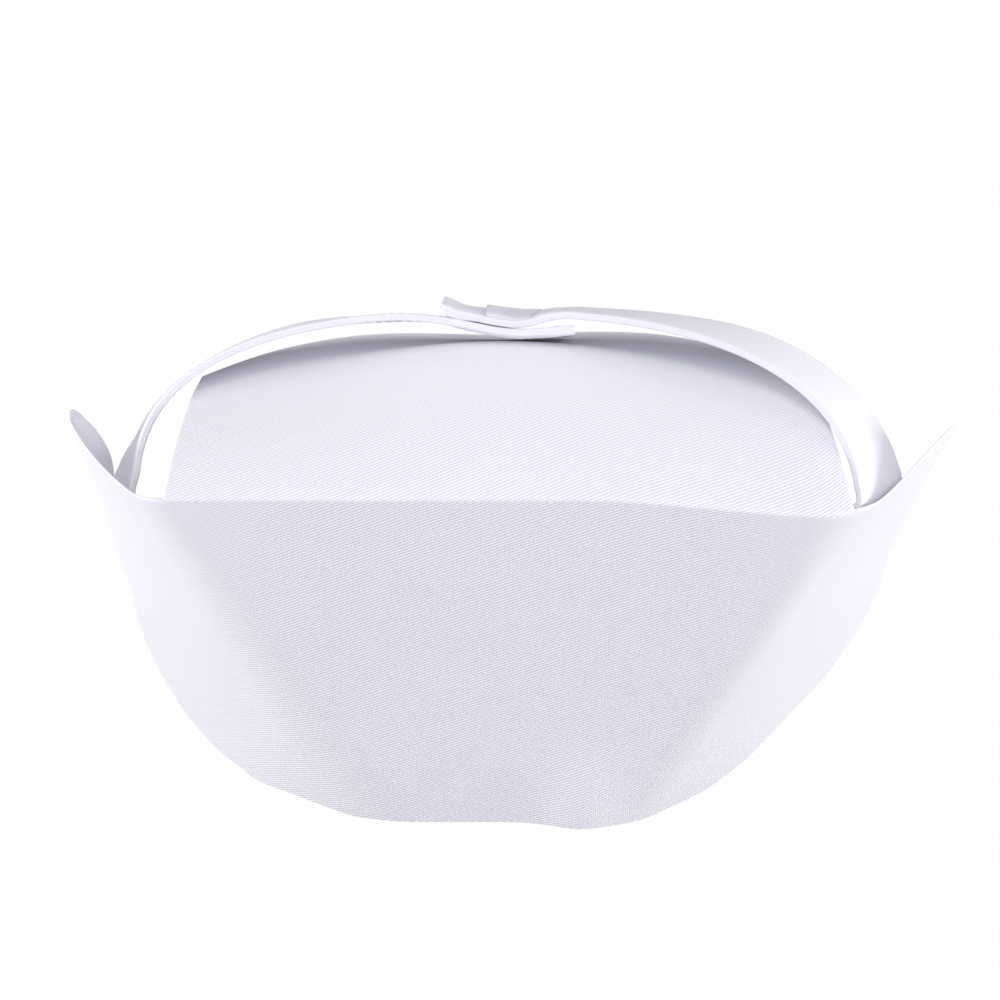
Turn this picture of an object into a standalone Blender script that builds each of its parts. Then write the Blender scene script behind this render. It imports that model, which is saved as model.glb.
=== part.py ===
"""A white folded nurse's cap: a stiff front panel with swept-back wings, a crown that folds back from
the crest, and a two-piece back strap that closes with hook and loop tape. Metres and degrees, +Z up,
the front faces -Y. The origin is the middle of the head opening, level with the lowest edge of the
front panel."""

from math import cos, pi, radians, sin

import bpy
import numpy as np
from mathutils import Vector

# Cloth
CLOTH = 0.0005
INTERLINING = 0.00025
STRAP_CLOTH = 0.0006
TAPE = 0.0005
PATCH = 0.0005
THREAD_RADIUS = 0.0002
GAP = 0.0003

# Front panel, seen as it stands: the crest runs left to right along its top
PANEL_HEIGHT = 0.126
CREST_HALF = 0.0995
LEFT_FOOT_HALF = 0.0385
RIGHT_FOOT_HALF = 0.0400
LEFT_BEND_HALF = 0.0125
RIGHT_BEND_HALF = 0.0065
PANEL_TUCK = 0.004
LEFT_WING_SWEEP = 58.0
RIGHT_WING_SWEEP = 50.0
LEFT_FOOT_SWEEP = 20.0
RIGHT_FOOT_SWEEP = 28.0
# Cloth that reaches past the bend, from the wing tip down to the foot, against the share of the height
LEFT_OUTLINE = (
    (0.0, 0.0440),
    (0.16, 0.0434),
    (0.33, 0.0471),
    (0.50, 0.0513),
    (0.62, 0.0540),
    (0.74, 0.0529),
    (0.86, 0.0479),
    (0.93, 0.0400),
    (0.98, 0.0200),
    (1.0, 0.0065),
)
RIGHT_OUTLINE = (
    (0.0, 0.0490),
    (0.10, 0.0452),
    (0.33, 0.0462),
    (0.50, 0.0514),
    (0.60, 0.0517),
    (0.70, 0.0485),
    (0.80, 0.0408),
    (0.91, 0.0320),
    (0.98, 0.0180),
    (1.0, 0.0035),
)
INTERLINING_INSET = 0.004

# Crown, from the crest back over the head
CROWN_DEPTH = 0.086
CROWN_SIDE_GAP = 0.006
CROWN_TAPER = 0.20
CROWN_FRONT_SLOPE = 26.0
CROWN_BACK_SLOPE = -22.0
CROWN_SLOPE_EASE = 0.85
CROWN_CORNER_ROUND = 0.45
CROWN_CORNER_POWER = 3.5
CROWN_CORNER_DROP = 0.005
CROWN_DROP_POWER = 3
CROWN_FRONT_TRIM = 0.0016
CROWN_TRIM_POWER = 6

# Back strap: an arch over the back of the crown, from one wing root to the other
STRAP_WIDTH = 0.025
RIGHT_ROOT_INSET = 0.0020
LEFT_ROOT_OUTSET = 0.0025
RIGHT_ROOT_HALF = CREST_HALF - RIGHT_ROOT_INSET
LEFT_ROOT_HALF = CREST_HALF + LEFT_ROOT_OUTSET
RIGHT_ROOT_BACK = 0.0034
LEFT_ROOT_BACK = 0.0086
STRAP_ROOT_LIFT = 0.0003
STRAP_TOP_BACK = 0.055
STRAP_TOP_RISE = 0.0235
RIGHT_STRAP_FULLNESS = 2.12
LEFT_STRAP_FULLNESS = 2.45
RIGHT_ROOT_LEAN = (15.0, 19.5, 0.0)
RIGHT_SIDE_LEAN = (13.3, 19.9, -7.2)
TOP_LEAN = (4.0, 20.9, -12.6)
LEFT_SIDE_LEAN = (1.0, 20.9, -12.6)
LEFT_ROOT_LEAN = (-8.0, 23.0, -2.0)
STRAP_LEAN_POWER = 1.3
ROOT_LEAN_POWER = 14
RIGHT_TIP_PAST_MIDDLE = 0.017
LEFT_TIP_PAST_MIDDLE = 0.020
TIP_CURL = 0.0030
TIP_CURL_START = 0.2
OVER_STRAP_STEP_AT = 0.034
UNDER_STRAP_DIP = 0.0040
UNDER_STRAP_DIP_START = 2.2
THREAD_INSET = 0.0012
ROOT_SEAM_INSET = 0.0016
ROOT_SEAM_ENDS = (0.15, 0.85)

# Tapes and patch on the overlap
TAPE_LENGTH = 0.024
TAPE_SIDE_MARGIN = 0.003
HOOK_TAPE_REACH = 0.6
HOOK_SEAM_MARGIN = 0.004
HOOK_SEAM_SIDE = 0.0008
LOOP_TAPE_REACH = 0.9
PATCH_LENGTH = 0.011
PATCH_SIDE_MARGIN = 0.004

# Where the crest stands over the origin
CREST_Y = -0.040
CREST_Z = PANEL_HEIGHT

STACK = 2 * CLOTH + INTERLINING + 2 * GAP
STRAP_STACK = 2 * STRAP_CLOTH + GAP
TAPE_STACK = 2 * TAPE + 3 * GAP

WHITE_TWILL = (0.80, 0.80, 0.86)
WHITE_TAPE = (0.78, 0.78, 0.83)
WHITE_THREAD = (0.84, 0.84, 0.88)
INTERLINING_WHITE = (0.74, 0.74, 0.74)
TWILL_ROUGHNESS = 0.9
THREAD_ROUGHNESS = 0.7
FELT_ROUGHNESS = 0.95

# How finely the sheets are divided
PANEL_ROWS = 12
PANEL_FLAT_COLUMNS = 4
PANEL_BEND_COLUMNS = 5
PANEL_SIDE_COLUMNS = 5
PANEL_BEND_SHARE = 0.72
CROWN_ROWS = 14
CROWN_COLUMNS = 26
STRAP_COLUMNS = 44
TAPE_COLUMNS = 8
EDGE_THREAD_STOPS = 22
SHARP_ANGLE = 40.0


def clear_scene():
    for obj in list(bpy.data.objects):
        bpy.data.objects.remove(obj, do_unlink=True)


def make_material(name, colour, roughness):
    material = bpy.data.materials.new(name)
    material.use_nodes = True
    shader = material.node_tree.nodes["Principled BSDF"]
    shader.inputs["Base Color"].default_value = (*colour, 1.0)
    shader.inputs["Roughness"].default_value = roughness
    shader.inputs["Metallic"].default_value = 0.0
    return material


def smooth_step(value, low, high):
    share = min(max((value - low) / (high - low), 0.0), 1.0)
    return share * share * (3.0 - 2.0 * share)


def unit(vector):
    return vector / np.linalg.norm(vector)


# Front panel

def side_reach(right, share):
    """Cloth past the bend at this share of the height, a smooth curve through the outline's points."""
    outline = RIGHT_OUTLINE if right else LEFT_OUTLINE
    shares = [point[0] for point in outline]
    reaches = [point[1] for point in outline]
    slopes = np.gradient(reaches, shares)
    upper = min(max(np.searchsorted(shares, share), 1), len(shares) - 1)
    lower = upper - 1
    step = shares[upper] - shares[lower]
    t = (share - shares[lower]) / step
    keep = 2 * t**3 - 3 * t**2 + 1
    rise_low = (t**3 - 2 * t**2 + t) * step * slopes[lower]
    rise_high = (t**3 - t**2) * step * slopes[upper]
    return keep * reaches[lower] + (1 - keep) * reaches[upper] + rise_low + rise_high


def bend_half(right):
    return RIGHT_BEND_HALF if right else LEFT_BEND_HALF


def bend_place(right, share):
    foot_half = RIGHT_FOOT_HALF if right else LEFT_FOOT_HALF
    return CREST_HALF + (foot_half - CREST_HALF) * share


def panel_half(right, share):
    return bend_place(right, share) + side_reach(right, share)


def panel_point(across, drop):
    """The panel's outer face: across runs along the cloth from the middle, drop runs down from the crest."""
    share = drop / PANEL_HEIGHT
    right = across >= 0
    top_sweep = RIGHT_WING_SWEEP if right else LEFT_WING_SWEEP
    foot_sweep = RIGHT_FOOT_SWEEP if right else LEFT_FOOT_SWEEP
    sweep = radians(top_sweep + (foot_sweep - top_sweep) * share)
    bend = bend_half(right)
    start = bend_place(right, share) - bend
    radius = 2 * bend / sweep
    past = abs(across) - start
    turn = min(max(past / radius, 0.0), sweep)
    beyond = max(past - 2 * bend, 0.0)
    x = min(abs(across), start) + radius * sin(turn) + beyond * cos(sweep)
    y = radius * (1 - cos(turn)) + beyond * sin(sweep) + PANEL_TUCK * share**2
    return np.array((x if right else -x, CREST_Y + y, CREST_Z - drop))


def panel_offset_point(across, drop, depth):
    """A point this deep behind the panel's outer face."""
    step = 1e-5
    along = panel_point(across + step, drop) - panel_point(across - step, drop)
    down = panel_point(across, drop + step) - panel_point(across, drop - step)
    return panel_point(across, drop) + unit(np.cross(along, down)) * depth


def panel_stops(right, share, inset):
    """Places across one half of the panel, from the middle out to its edge."""
    half = panel_half(right, share) - inset
    bend = bend_half(right)
    start = min(bend_place(right, share) - bend, half - 3 * inset)
    end = start + PANEL_BEND_SHARE * min(2 * bend, half - start)
    stops = list(np.linspace(0.0, start, PANEL_FLAT_COLUMNS, endpoint=False))
    stops += list(np.linspace(start, end, PANEL_BEND_COLUMNS, endpoint=False))
    return stops + list(np.linspace(end, half, PANEL_SIDE_COLUMNS + 1))


def panel_grid(depth, inset):
    """Rows of points over the panel, closer together at the bends and at the foot."""
    grid = []
    for row in range(PANEL_ROWS + 1):
        share = sin(0.5 * pi * row / PANEL_ROWS)
        drop = inset + (PANEL_HEIGHT - 2 * inset) * share
        left_stops = panel_stops(False, drop / PANEL_HEIGHT, inset)
        places = [-stop for stop in reversed(left_stops[1:])] + panel_stops(True, drop / PANEL_HEIGHT, inset)
        grid.append([panel_offset_point(across, drop, depth) for across in places])
    return grid


# Crown

def crown_profile(run):
    """Back and up from the crest after this much cloth, with the slope easing from front to back."""
    steps = 24
    back = up = 0.0
    for step in range(steps):
        share = max(run, 0.0) * (step + 0.5) / (steps * CROWN_DEPTH)
        eased = share**CROWN_SLOPE_EASE
        slope = radians(CROWN_FRONT_SLOPE + (CROWN_BACK_SLOPE - CROWN_FRONT_SLOPE) * eased)
        back += cos(slope) * run / steps
        up += sin(slope) * run / steps
    return back, up


def crown_point(side, share, inset):
    """The crown's top face: side runs -1 to 1, share runs 0 at the crest to 1 at the back edge."""
    length = CROWN_DEPTH * (1 - CROWN_CORNER_ROUND * abs(side) ** CROWN_CORNER_POWER)
    run = inset + (length - 2 * inset) * share
    half = CREST_HALF - CROWN_SIDE_GAP - CROWN_TAPER * run - inset
    back, up = crown_profile(run)
    x = side * half
    trim = CROWN_FRONT_TRIM * side**CROWN_TRIM_POWER * (1 - share)
    corner_drop = CROWN_CORNER_DROP * abs(side) ** CROWN_DROP_POWER * (run / CROWN_DEPTH) ** 2
    y = CREST_Y + STACK + GAP + trim + back
    z = CREST_Z + up - corner_drop
    return np.array((x, y, z))


def crown_offset_point(side, share, depth, inset):
    step = 1e-3
    right = crown_point(side + step, share, inset) - crown_point(side - step, share, inset)
    back = crown_point(side, share + step, inset) - crown_point(side, share - step, inset)
    return crown_point(side, share, inset) - unit(np.cross(right, back)) * depth


def crown_grid(depth, inset):
    columns = range(CROWN_COLUMNS + 1)
    sides = [sin(0.5 * pi * (2 * column / CROWN_COLUMNS - 1)) for column in columns]
    grid = []
    for row in range(CROWN_ROWS + 1):
        grid.append([crown_offset_point(side, row / CROWN_ROWS, depth, inset) for side in sides])
    return grid


# Straps

def strap_arch():
    """The near edge of the strap from the right root over to the left root, with its width vectors."""
    top = np.array((0.0, CREST_Y + STRAP_TOP_BACK, CREST_Z + STRAP_TOP_RISE))
    points, widths = [], []
    samples = 400
    for sample in range(samples + 1):
        angle = pi * sample / samples
        right = cos(angle) >= 0
        half = RIGHT_ROOT_HALF if right else LEFT_ROOT_HALF
        back = RIGHT_ROOT_BACK if right else LEFT_ROOT_BACK
        fullness = RIGHT_STRAP_FULLNESS if right else LEFT_STRAP_FULLNESS
        root = np.array((0.0, CREST_Y + back, CREST_Z + STRAP_ROOT_LIFT))
        rise = top - root
        depth = np.linalg.norm(rise)
        wide = abs(cos(angle) / half) ** fullness
        tall = abs(sin(angle) / depth) ** fullness
        radius = (wide + tall) ** (-1 / fullness)
        x = radius * cos(angle)
        points.append(root + np.array((x, 0.0, 0.0)) + rise * radius * sin(angle) / depth)
        side_lean = np.array(RIGHT_SIDE_LEAN if right else LEFT_SIDE_LEAN)
        root_lean = np.array(RIGHT_ROOT_LEAN if right else LEFT_ROOT_LEAN)
        share = abs(x / half) ** STRAP_LEAN_POWER
        root_share = abs(x / half) ** ROOT_LEAN_POWER
        lean = np.array(TOP_LEAN) * (1 - share) + side_lean * share
        widths.append(unit(lean * (1 - root_share) + root_lean * root_share) * STRAP_WIDTH)
    return np.array(points), np.array(widths)


ARCH_POINTS, ARCH_WIDTHS = strap_arch()
ARCH_RUNS = np.concatenate(((0.0,), np.cumsum(np.linalg.norm(np.diff(ARCH_POINTS, axis=0), axis=1))))


def run_at_x(x):
    """How far along the arch the near edge passes this x."""
    return float(np.interp(-x, -ARCH_POINTS[:, 0], ARCH_RUNS))


ARCH_LENGTH = float(ARCH_RUNS[-1])
RIGHT_STRAP_END = run_at_x(-RIGHT_TIP_PAST_MIDDLE)
LEFT_STRAP_END = run_at_x(LEFT_TIP_PAST_MIDDLE)
LAYER_STEP = STRAP_STACK + TAPE_STACK


def right_layer(x):
    """How far the over strap stands off the arch: level with it, then curling up at the tip."""
    step = (LAYER_STEP - UNDER_STRAP_DIP) * smooth_step(-x, -OVER_STRAP_STEP_AT, -LEFT_TIP_PAST_MIDDLE)
    curl_start = TIP_CURL_START * RIGHT_TIP_PAST_MIDDLE
    return step + TIP_CURL * smooth_step(-x, curl_start, RIGHT_TIP_PAST_MIDDLE)


def left_layer(x):
    """How far the under strap dips below the arch, to pass under the over strap."""
    dip_start = -UNDER_STRAP_DIP_START * RIGHT_TIP_PAST_MIDDLE
    return -UNDER_STRAP_DIP * smooth_step(x, dip_start, -RIGHT_TIP_PAST_MIDDLE)


def arch_place(run):
    point = np.array([np.interp(run, ARCH_RUNS, ARCH_POINTS[:, axis]) for axis in range(3)])
    width = np.array([np.interp(run, ARCH_RUNS, ARCH_WIDTHS[:, axis]) for axis in range(3)])
    return point, width


def strap_point(layer, run, across, lift):
    """A point of the band: run along the arch, across 0 at its near edge to 1 at its far edge, lift out."""
    step = 2e-4
    point, width = arch_place(run)
    tangent = arch_place(run + step)[0] - arch_place(run - step)[0]
    normal = unit(np.cross(width, tangent))
    return point + width * across + normal * (layer(point[0]) + lift)


def strap_grid(layer, start, end, low, high, lift, columns):
    grid = []
    for across in (low, 0.5 * (low + high), high):
        runs = np.linspace(start, end, columns + 1)
        grid.append([strap_point(layer, run, across, lift) for run in runs])
    return grid


# Objects

def add_sheet(name, grid, thickness, origin, material, collection):
    """A sheet through the grid's points, thickened both ways by a Solidify modifier."""
    width = len(grid[0])
    points = [Vector(point) - origin for row in grid for point in row]
    faces = []
    for row in range(len(grid) - 1):
        for column in range(width - 1):
            corner = row * width + column
            faces.append((corner, corner + 1, corner + width + 1, corner + width))
    mesh = bpy.data.meshes.new(name)
    mesh.from_pydata(points, [], faces)
    mesh.materials.append(material)
    mesh.shade_smooth()
    mesh.set_sharp_from_angle(angle=radians(SHARP_ANGLE))
    obj = bpy.data.objects.new(name, mesh)
    obj.location = origin
    collection.objects.link(obj)
    solidify = obj.modifiers.new("thickness", "SOLIDIFY")
    solidify.thickness = thickness
    solidify.offset = 0.0
    solidify.use_even_offset = True
    return obj


def add_thread(name, points, closed, origin, material, collection):
    """A sewing thread lying on the cloth: a thin tube along its points."""
    curve = bpy.data.curves.new(name, "CURVE")
    curve.dimensions = "3D"
    curve.bevel_depth = THREAD_RADIUS
    curve.bevel_resolution = 1
    curve.use_fill_caps = not closed
    spline = curve.splines.new("POLY")
    spline.points.add(len(points) - 1)
    for target, point in zip(spline.points, points):
        target.co = (*(Vector(point) - origin), 1.0)
    spline.use_cyclic_u = closed
    curve.materials.append(material)
    obj = bpy.data.objects.new(name, curve)
    obj.location = origin
    collection.objects.link(obj)
    return obj


def front_panel(collection, twill, stiffener):
    origin = Vector((0.0, CREST_Y, CREST_Z))
    lining_depth = STACK - 0.5 * CLOTH
    add_sheet("front_face", panel_grid(0.5 * CLOTH, 0.0), CLOTH, origin, twill, collection)
    inner = panel_grid(0.5 * STACK, INTERLINING_INSET)
    add_sheet("front_interlining", inner, INTERLINING, origin, stiffener, collection)
    add_sheet("front_lining", panel_grid(lining_depth, 0.0), CLOTH, origin, twill, collection)


def crown_panel(collection, twill, stiffener):
    hinge = Vector((0.0, CREST_Y + STACK + GAP, CREST_Z - STACK))
    lining_depth = STACK - 0.5 * CLOTH
    add_sheet("crown_face", crown_grid(0.5 * CLOTH, 0.0), CLOTH, hinge, twill, collection)
    inner = crown_grid(0.5 * STACK, INTERLINING_INSET)
    add_sheet("crown_interlining", inner, INTERLINING, hinge, stiffener, collection)
    add_sheet("crown_lining", crown_grid(lining_depth, 0.0), CLOTH, hinge, twill, collection)


def edge_thread_path(layer, start, end, lift):
    """Down one edge of the strap, round its tip and back along the other edge."""
    inset = THREAD_INSET / STRAP_WIDTH
    inward = THREAD_INSET if end > start else -THREAD_INSET
    runs = list(np.linspace(start + inward, end - inward, EDGE_THREAD_STOPS))
    near = [strap_point(layer, run, inset, lift) for run in runs]
    tip = [strap_point(layer, runs[-1], across, lift) for across in (0.3, 0.5, 0.7)]
    far = [strap_point(layer, run, 1 - inset, lift) for run in reversed(runs)]
    return near + tip + far


def box_thread_path(layer, start, end, margin, lift):
    """A sewn rectangle, inset from the edges of a tape or patch."""
    inset = margin + THREAD_INSET
    low, high = inset / STRAP_WIDTH, 1 - inset / STRAP_WIDTH
    inward = THREAD_INSET if end > start else -THREAD_INSET
    runs = list(np.linspace(start + inward, end - inward, 6))
    acrosses = list(np.linspace(low, high, 5))[1:-1]
    near = [strap_point(layer, run, low, lift) for run in runs]
    out = [strap_point(layer, runs[-1], across, lift) for across in acrosses]
    far = [strap_point(layer, run, high, lift) for run in reversed(runs)]
    back = [strap_point(layer, runs[0], across, lift) for across in reversed(acrosses)]
    return near + out + far + back


def root_thread_path(layer, run, lift):
    return [strap_point(layer, run, across, lift) for across in np.linspace(*ROOT_SEAM_ENDS, 5)]


def add_tape(name, layer, start, end, margin, thickness, lift, origin, material, collection):
    low, high = margin / STRAP_WIDTH, 1 - margin / STRAP_WIDTH
    grid = strap_grid(layer, start, end, low, high, lift, TAPE_COLUMNS)
    return add_sheet(name, grid, thickness, origin, material, collection)


def strap(side, layer, start, end, hinge, collection, twill, thread):
    ply_lift = 0.5 * (STRAP_CLOTH + GAP)
    thread_lift = 0.5 * STRAP_STACK + THREAD_RADIUS + GAP
    root_run = start + (ROOT_SEAM_INSET if end > start else -ROOT_SEAM_INSET)
    for ply, lift in (("outer", ply_lift), ("inner", -ply_lift)):
        grid = strap_grid(layer, start, end, 0.0, 1.0, lift, STRAP_COLUMNS)
        add_sheet(f"{side}_strap_{ply}", grid, STRAP_CLOTH, hinge, twill, collection)
    path = edge_thread_path(layer, root_run, end, thread_lift)
    add_thread(f"{side}_strap_thread", path, False, hinge, thread, collection)
    path = root_thread_path(layer, root_run, -thread_lift)
    add_thread(f"{side}_root_thread", path, False, hinge, thread, collection)


def over_strap(collection, twill, tape, thread):
    """The right half: it lies on top and carries the hook tape under its tip and the patch over it."""
    hinge = Vector(strap_point(right_layer, 0.0, 0.0, 0.5 * STRAP_STACK))
    strap("right", right_layer, 0.0, RIGHT_STRAP_END, hinge, collection, twill, thread)
    tape_end = run_at_x(-HOOK_TAPE_REACH * RIGHT_TIP_PAST_MIDDLE)
    tape_start = tape_end - TAPE_LENGTH
    under = -(0.5 * STRAP_STACK + GAP + 0.5 * TAPE)
    over = 0.5 * STRAP_STACK + GAP + 0.5 * PATCH
    thread_lift = 0.5 * STRAP_STACK + THREAD_RADIUS + GAP
    patch_start = tape_end - PATCH_LENGTH
    margin = TAPE_SIDE_MARGIN
    add_tape("hook_tape", right_layer, tape_start, tape_end, margin, TAPE, under, hinge, tape, collection)
    seam_start = tape_start - HOOK_SEAM_MARGIN
    seam_end = tape_end + HOOK_SEAM_MARGIN
    path = box_thread_path(right_layer, seam_start, seam_end, margin - HOOK_SEAM_SIDE, thread_lift)
    add_thread("hook_tape_thread", path, True, hinge, thread, collection)
    margin = PATCH_SIDE_MARGIN + THREAD_INSET
    add_tape("tip_patch", right_layer, patch_start, tape_end, margin, PATCH, over, hinge, tape, collection)
    patch_lift = over + 0.5 * PATCH + THREAD_RADIUS + GAP
    path = box_thread_path(right_layer, patch_start, tape_end, margin, patch_lift)
    add_thread("tip_patch_thread", path, True, hinge, thread, collection)


def under_strap(collection, twill, tape, thread):
    """The left half: it passes below and carries the loop tape on top of its tip."""
    hinge = Vector(strap_point(left_layer, ARCH_LENGTH, 0.0, 0.5 * STRAP_STACK))
    strap("left", left_layer, ARCH_LENGTH, LEFT_STRAP_END, hinge, collection, twill, thread)
    tape_start = run_at_x(LOOP_TAPE_REACH * LEFT_TIP_PAST_MIDDLE - THREAD_INSET)
    tape_end = tape_start + TAPE_LENGTH
    over = 0.5 * STRAP_STACK + GAP + 0.5 * TAPE
    thread_lift = -(0.5 * STRAP_STACK + THREAD_RADIUS + GAP)
    margin = TAPE_SIDE_MARGIN
    add_tape("loop_tape", left_layer, tape_start, tape_end, margin, TAPE, over, hinge, tape, collection)
    path = box_thread_path(left_layer, tape_start, tape_end, margin, thread_lift)
    add_thread("loop_tape_thread", path, True, hinge, thread, collection)


def build():
    clear_scene()
    collection = bpy.data.collections.new("nurse_cap")
    bpy.context.scene.collection.children.link(collection)
    twill = make_material("white_twill", WHITE_TWILL, TWILL_ROUGHNESS)
    stiffener = make_material("interlining", INTERLINING_WHITE, FELT_ROUGHNESS)
    tape = make_material("hook_and_loop_tape", WHITE_TAPE, FELT_ROUGHNESS)
    thread = make_material("sewing_thread", WHITE_THREAD, THREAD_ROUGHNESS)
    front_panel(collection, twill, stiffener)
    crown_panel(collection, twill, stiffener)
    over_strap(collection, twill, tape, thread)
    under_strap(collection, twill, tape, thread)


build()
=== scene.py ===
from math import cos, pi, radians, sin

import bmesh
import bpy
import numpy as np
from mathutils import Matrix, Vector, kdtree, noise


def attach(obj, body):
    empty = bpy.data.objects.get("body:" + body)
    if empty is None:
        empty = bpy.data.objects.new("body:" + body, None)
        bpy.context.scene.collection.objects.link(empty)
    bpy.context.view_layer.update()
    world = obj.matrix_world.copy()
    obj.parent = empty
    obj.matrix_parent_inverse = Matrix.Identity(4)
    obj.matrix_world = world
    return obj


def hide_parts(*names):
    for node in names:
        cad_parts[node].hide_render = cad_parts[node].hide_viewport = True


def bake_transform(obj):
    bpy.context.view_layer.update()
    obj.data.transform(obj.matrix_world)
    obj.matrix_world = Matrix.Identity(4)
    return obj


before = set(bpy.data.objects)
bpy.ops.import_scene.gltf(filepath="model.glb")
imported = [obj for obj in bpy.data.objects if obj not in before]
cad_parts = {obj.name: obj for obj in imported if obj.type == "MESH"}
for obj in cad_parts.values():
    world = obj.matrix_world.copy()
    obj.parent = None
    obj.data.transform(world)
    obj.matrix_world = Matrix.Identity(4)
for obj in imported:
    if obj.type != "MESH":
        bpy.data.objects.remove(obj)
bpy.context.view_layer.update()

# Cloth thicknesses, metres
PANEL_STACK = 0.0015
STRAP_STACK = 0.0021
TAPE_THICKNESS = 0.0007
PATCH_THICKNESS = 0.0010
# Share of its thickness that the tip patch loses towards the root
PATCH_TAPER = 0.7
PLY_GAP = 0.0003
EDGE_ROUND = 0.0005

# Unevenness of pressed cloth: height off the surface, waves per metre across and down, slice of the noise
BROAD_RIPPLE = (0.00042, 14.0, 18.0, 3.1)
FINE_RIPPLE = (0.00011, 55.0, 62.0, 7.7)
RIPPLE_FADE = 0.030
STRAP_RIPPLE = 0.4
# Moves the crown and the under strap to another part of the noise
CROWN_RIPPLE_SHIFT, UNDER_RIPPLE_SHIFT = 0.5, 0.7

# Front panel
PANEL_HEIGHT = 0.126
LEFT_CREST_HALF, RIGHT_CREST_HALF = 0.1003, 0.0982
CREST_Y = -0.040
PANEL_TUCK = 0.004
LEFT_FOOT, RIGHT_FOOT = 0.0385, 0.0400
# Half the cloth that the fold takes up at the crest and lower down, and the share of the height between
LEFT_BEND, RIGHT_BEND = (0.0074, 0.0125, 0.35), (0.0120, 0.0065, 0.25)
LEFT_SWEEP, RIGHT_SWEEP = (50.3, 20.0), (49.5, 28.0)
LEFT_WING_TURN, LEFT_WING_TURN_DOWN = 9.0, 0.5
# Cloth that reaches past the bend, against the share of the height
LEFT_OUTLINE = (
    (0.0, 0.0525), (0.03, 0.0535), (0.06, 0.0540), (0.10, 0.0543), (0.16, 0.0552), (0.20, 0.0552),
    (0.25, 0.0526), (0.30, 0.0488), (0.35, 0.0455), (0.40, 0.0438), (0.45, 0.0447), (0.50, 0.0466),
    (0.56, 0.0487), (0.62, 0.0497), (0.68, 0.0499), (0.74, 0.0495), (0.80, 0.0484), (0.86, 0.0453),
    (0.90, 0.0424), (0.93, 0.0379), (0.96, 0.0336), (0.98, 0.0196), (1.0, 0.0065),
)
RIGHT_OUTLINE = (
    (0.0, 0.0502), (0.03, 0.0490), (0.07, 0.0472), (0.10, 0.0462), (0.15, 0.0460), (0.20, 0.0463),
    (0.26, 0.0464), (0.33, 0.0471), (0.40, 0.0494), (0.50, 0.0526), (0.55, 0.0531), (0.60, 0.0523),
    (0.65, 0.0509), (0.70, 0.0491), (0.75, 0.0456), (0.80, 0.0410), (0.86, 0.0363), (0.91, 0.0324),
    (0.95, 0.0265), (0.98, 0.0187), (1.0, 0.0015),
)
# The left wing's rear rolls inwards: where the roll starts past the bend, against the share of the height
LEFT_ROLL_START = (
    (0.0, 0.0362), (0.03, 0.0350), (0.06, 0.0328), (0.10, 0.0292), (0.16, 0.0271), (0.22, 0.0266),
    (0.28, 0.0262), (0.34, 0.0285), (0.40, 0.0325), (0.46, 0.0360), (0.60, 0.0450), (1.0, 0.0600),
)
LEFT_ROLL_RADIUS = 0.0145
NO_ROLL = 1.0
WING_TIP_ROUND = 0.0035
WING_EDGE_RISE, WING_EDGE_DROP = 0.006, 0.0018
WING_RIM, WING_RIM_REACH = 0.0006, 0.006
CREST_DIP_FROM, CREST_DIP_TO = 0.020, 0.100
CREST_DIP = (0.0, -0.0026, -0.0043)
WING_DIP_REACH = 0.0375
FOOT_BULGE = 0.0030
FOOT_BULGE_AT, FOOT_BULGE_WIDTH, FOOT_BULGE_FROM = 0.0235, 0.011, 0.72
# Rows down the panel, closer together below this share of its height
PANEL_ROWS, FOOT_ROWS, FOOT_ROWS_FROM = 60, 16, 0.9
# Columns in each half: flat front, bend up to the crown's end, rest of the bend, wing
STOP_COUNTS = (40, 10, 14, 42)
STOP_SHARES = np.linspace(0.0, 1.0, 201)

# Crown
CREST_SEAM_DROP = 0.0012
CREST_RADIUS = 0.0014
CROWN_DEPTH = 0.085
LEFT_CROWN_HALF, RIGHT_CROWN_HALF = 0.0941, 0.0985
LEFT_CROWN_TAPER, RIGHT_CROWN_TAPER = 0.13, 0.198
CROWN_FRONT_SLOPE, CROWN_BACK_SLOPE = 26.0, -22.0
CROWN_SLOPE_EASE = 0.85
CROWN_RUN_END, CROWN_RUN_STEPS, CROWN_SHARE_END = 0.10, 801, 1.2
LEFT_CROWN_CORNER, RIGHT_CROWN_CORNER, CROWN_CORNER_POWER = 0.33, 0.48, 3.5
LEFT_CORNER_DROP, RIGHT_CORNER_DROP = 0.012, 0.006
CROWN_DIP_REACH = 0.060
# The crown's middle rises towards the strap: how high, how wide, and its share against the run from the seam
CROWN_RIDGE, CROWN_RIDGE_WIDTH = 0.0075, 0.045
CROWN_RIDGE_RUN = (
    (0.0, 0.0), (0.012, 0.09), (0.025, 0.33), (0.040, 0.69), (0.050, 0.91), (0.056, 0.95), (0.0585, 0.82),
    (0.0637, 0.38), (0.069, 0.14), (0.0743, -0.15), (0.080, -0.33), (0.085, -0.42), (0.10, -0.5),
)
# Columns and rows of the crown, closer together at its sides and at the crest
CROWN_SIDE_FROM, CROWN_SIDE_COLUMNS, CROWN_COLUMNS = 0.9, 10, 80
CREST_ROWS_TO, CREST_ROWS, CROWN_ROWS = 0.09, 14, 44
CROWN_RIPPLE_FROM = 0.004

# Back strap: an arch over the back of the crown, its two ends sewn inside the wings
STRAP_WIDTH = 0.025
RIGHT_ROOT = (0.0992, -0.0360, 0.1195)
LEFT_ROOT = (-0.1034, -0.0220, 0.1135)
STRAP_TOP = (0.0, 0.0150, 0.1495)
RIGHT_FULLNESS, LEFT_FULLNESS = 2.30, 2.60
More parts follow.
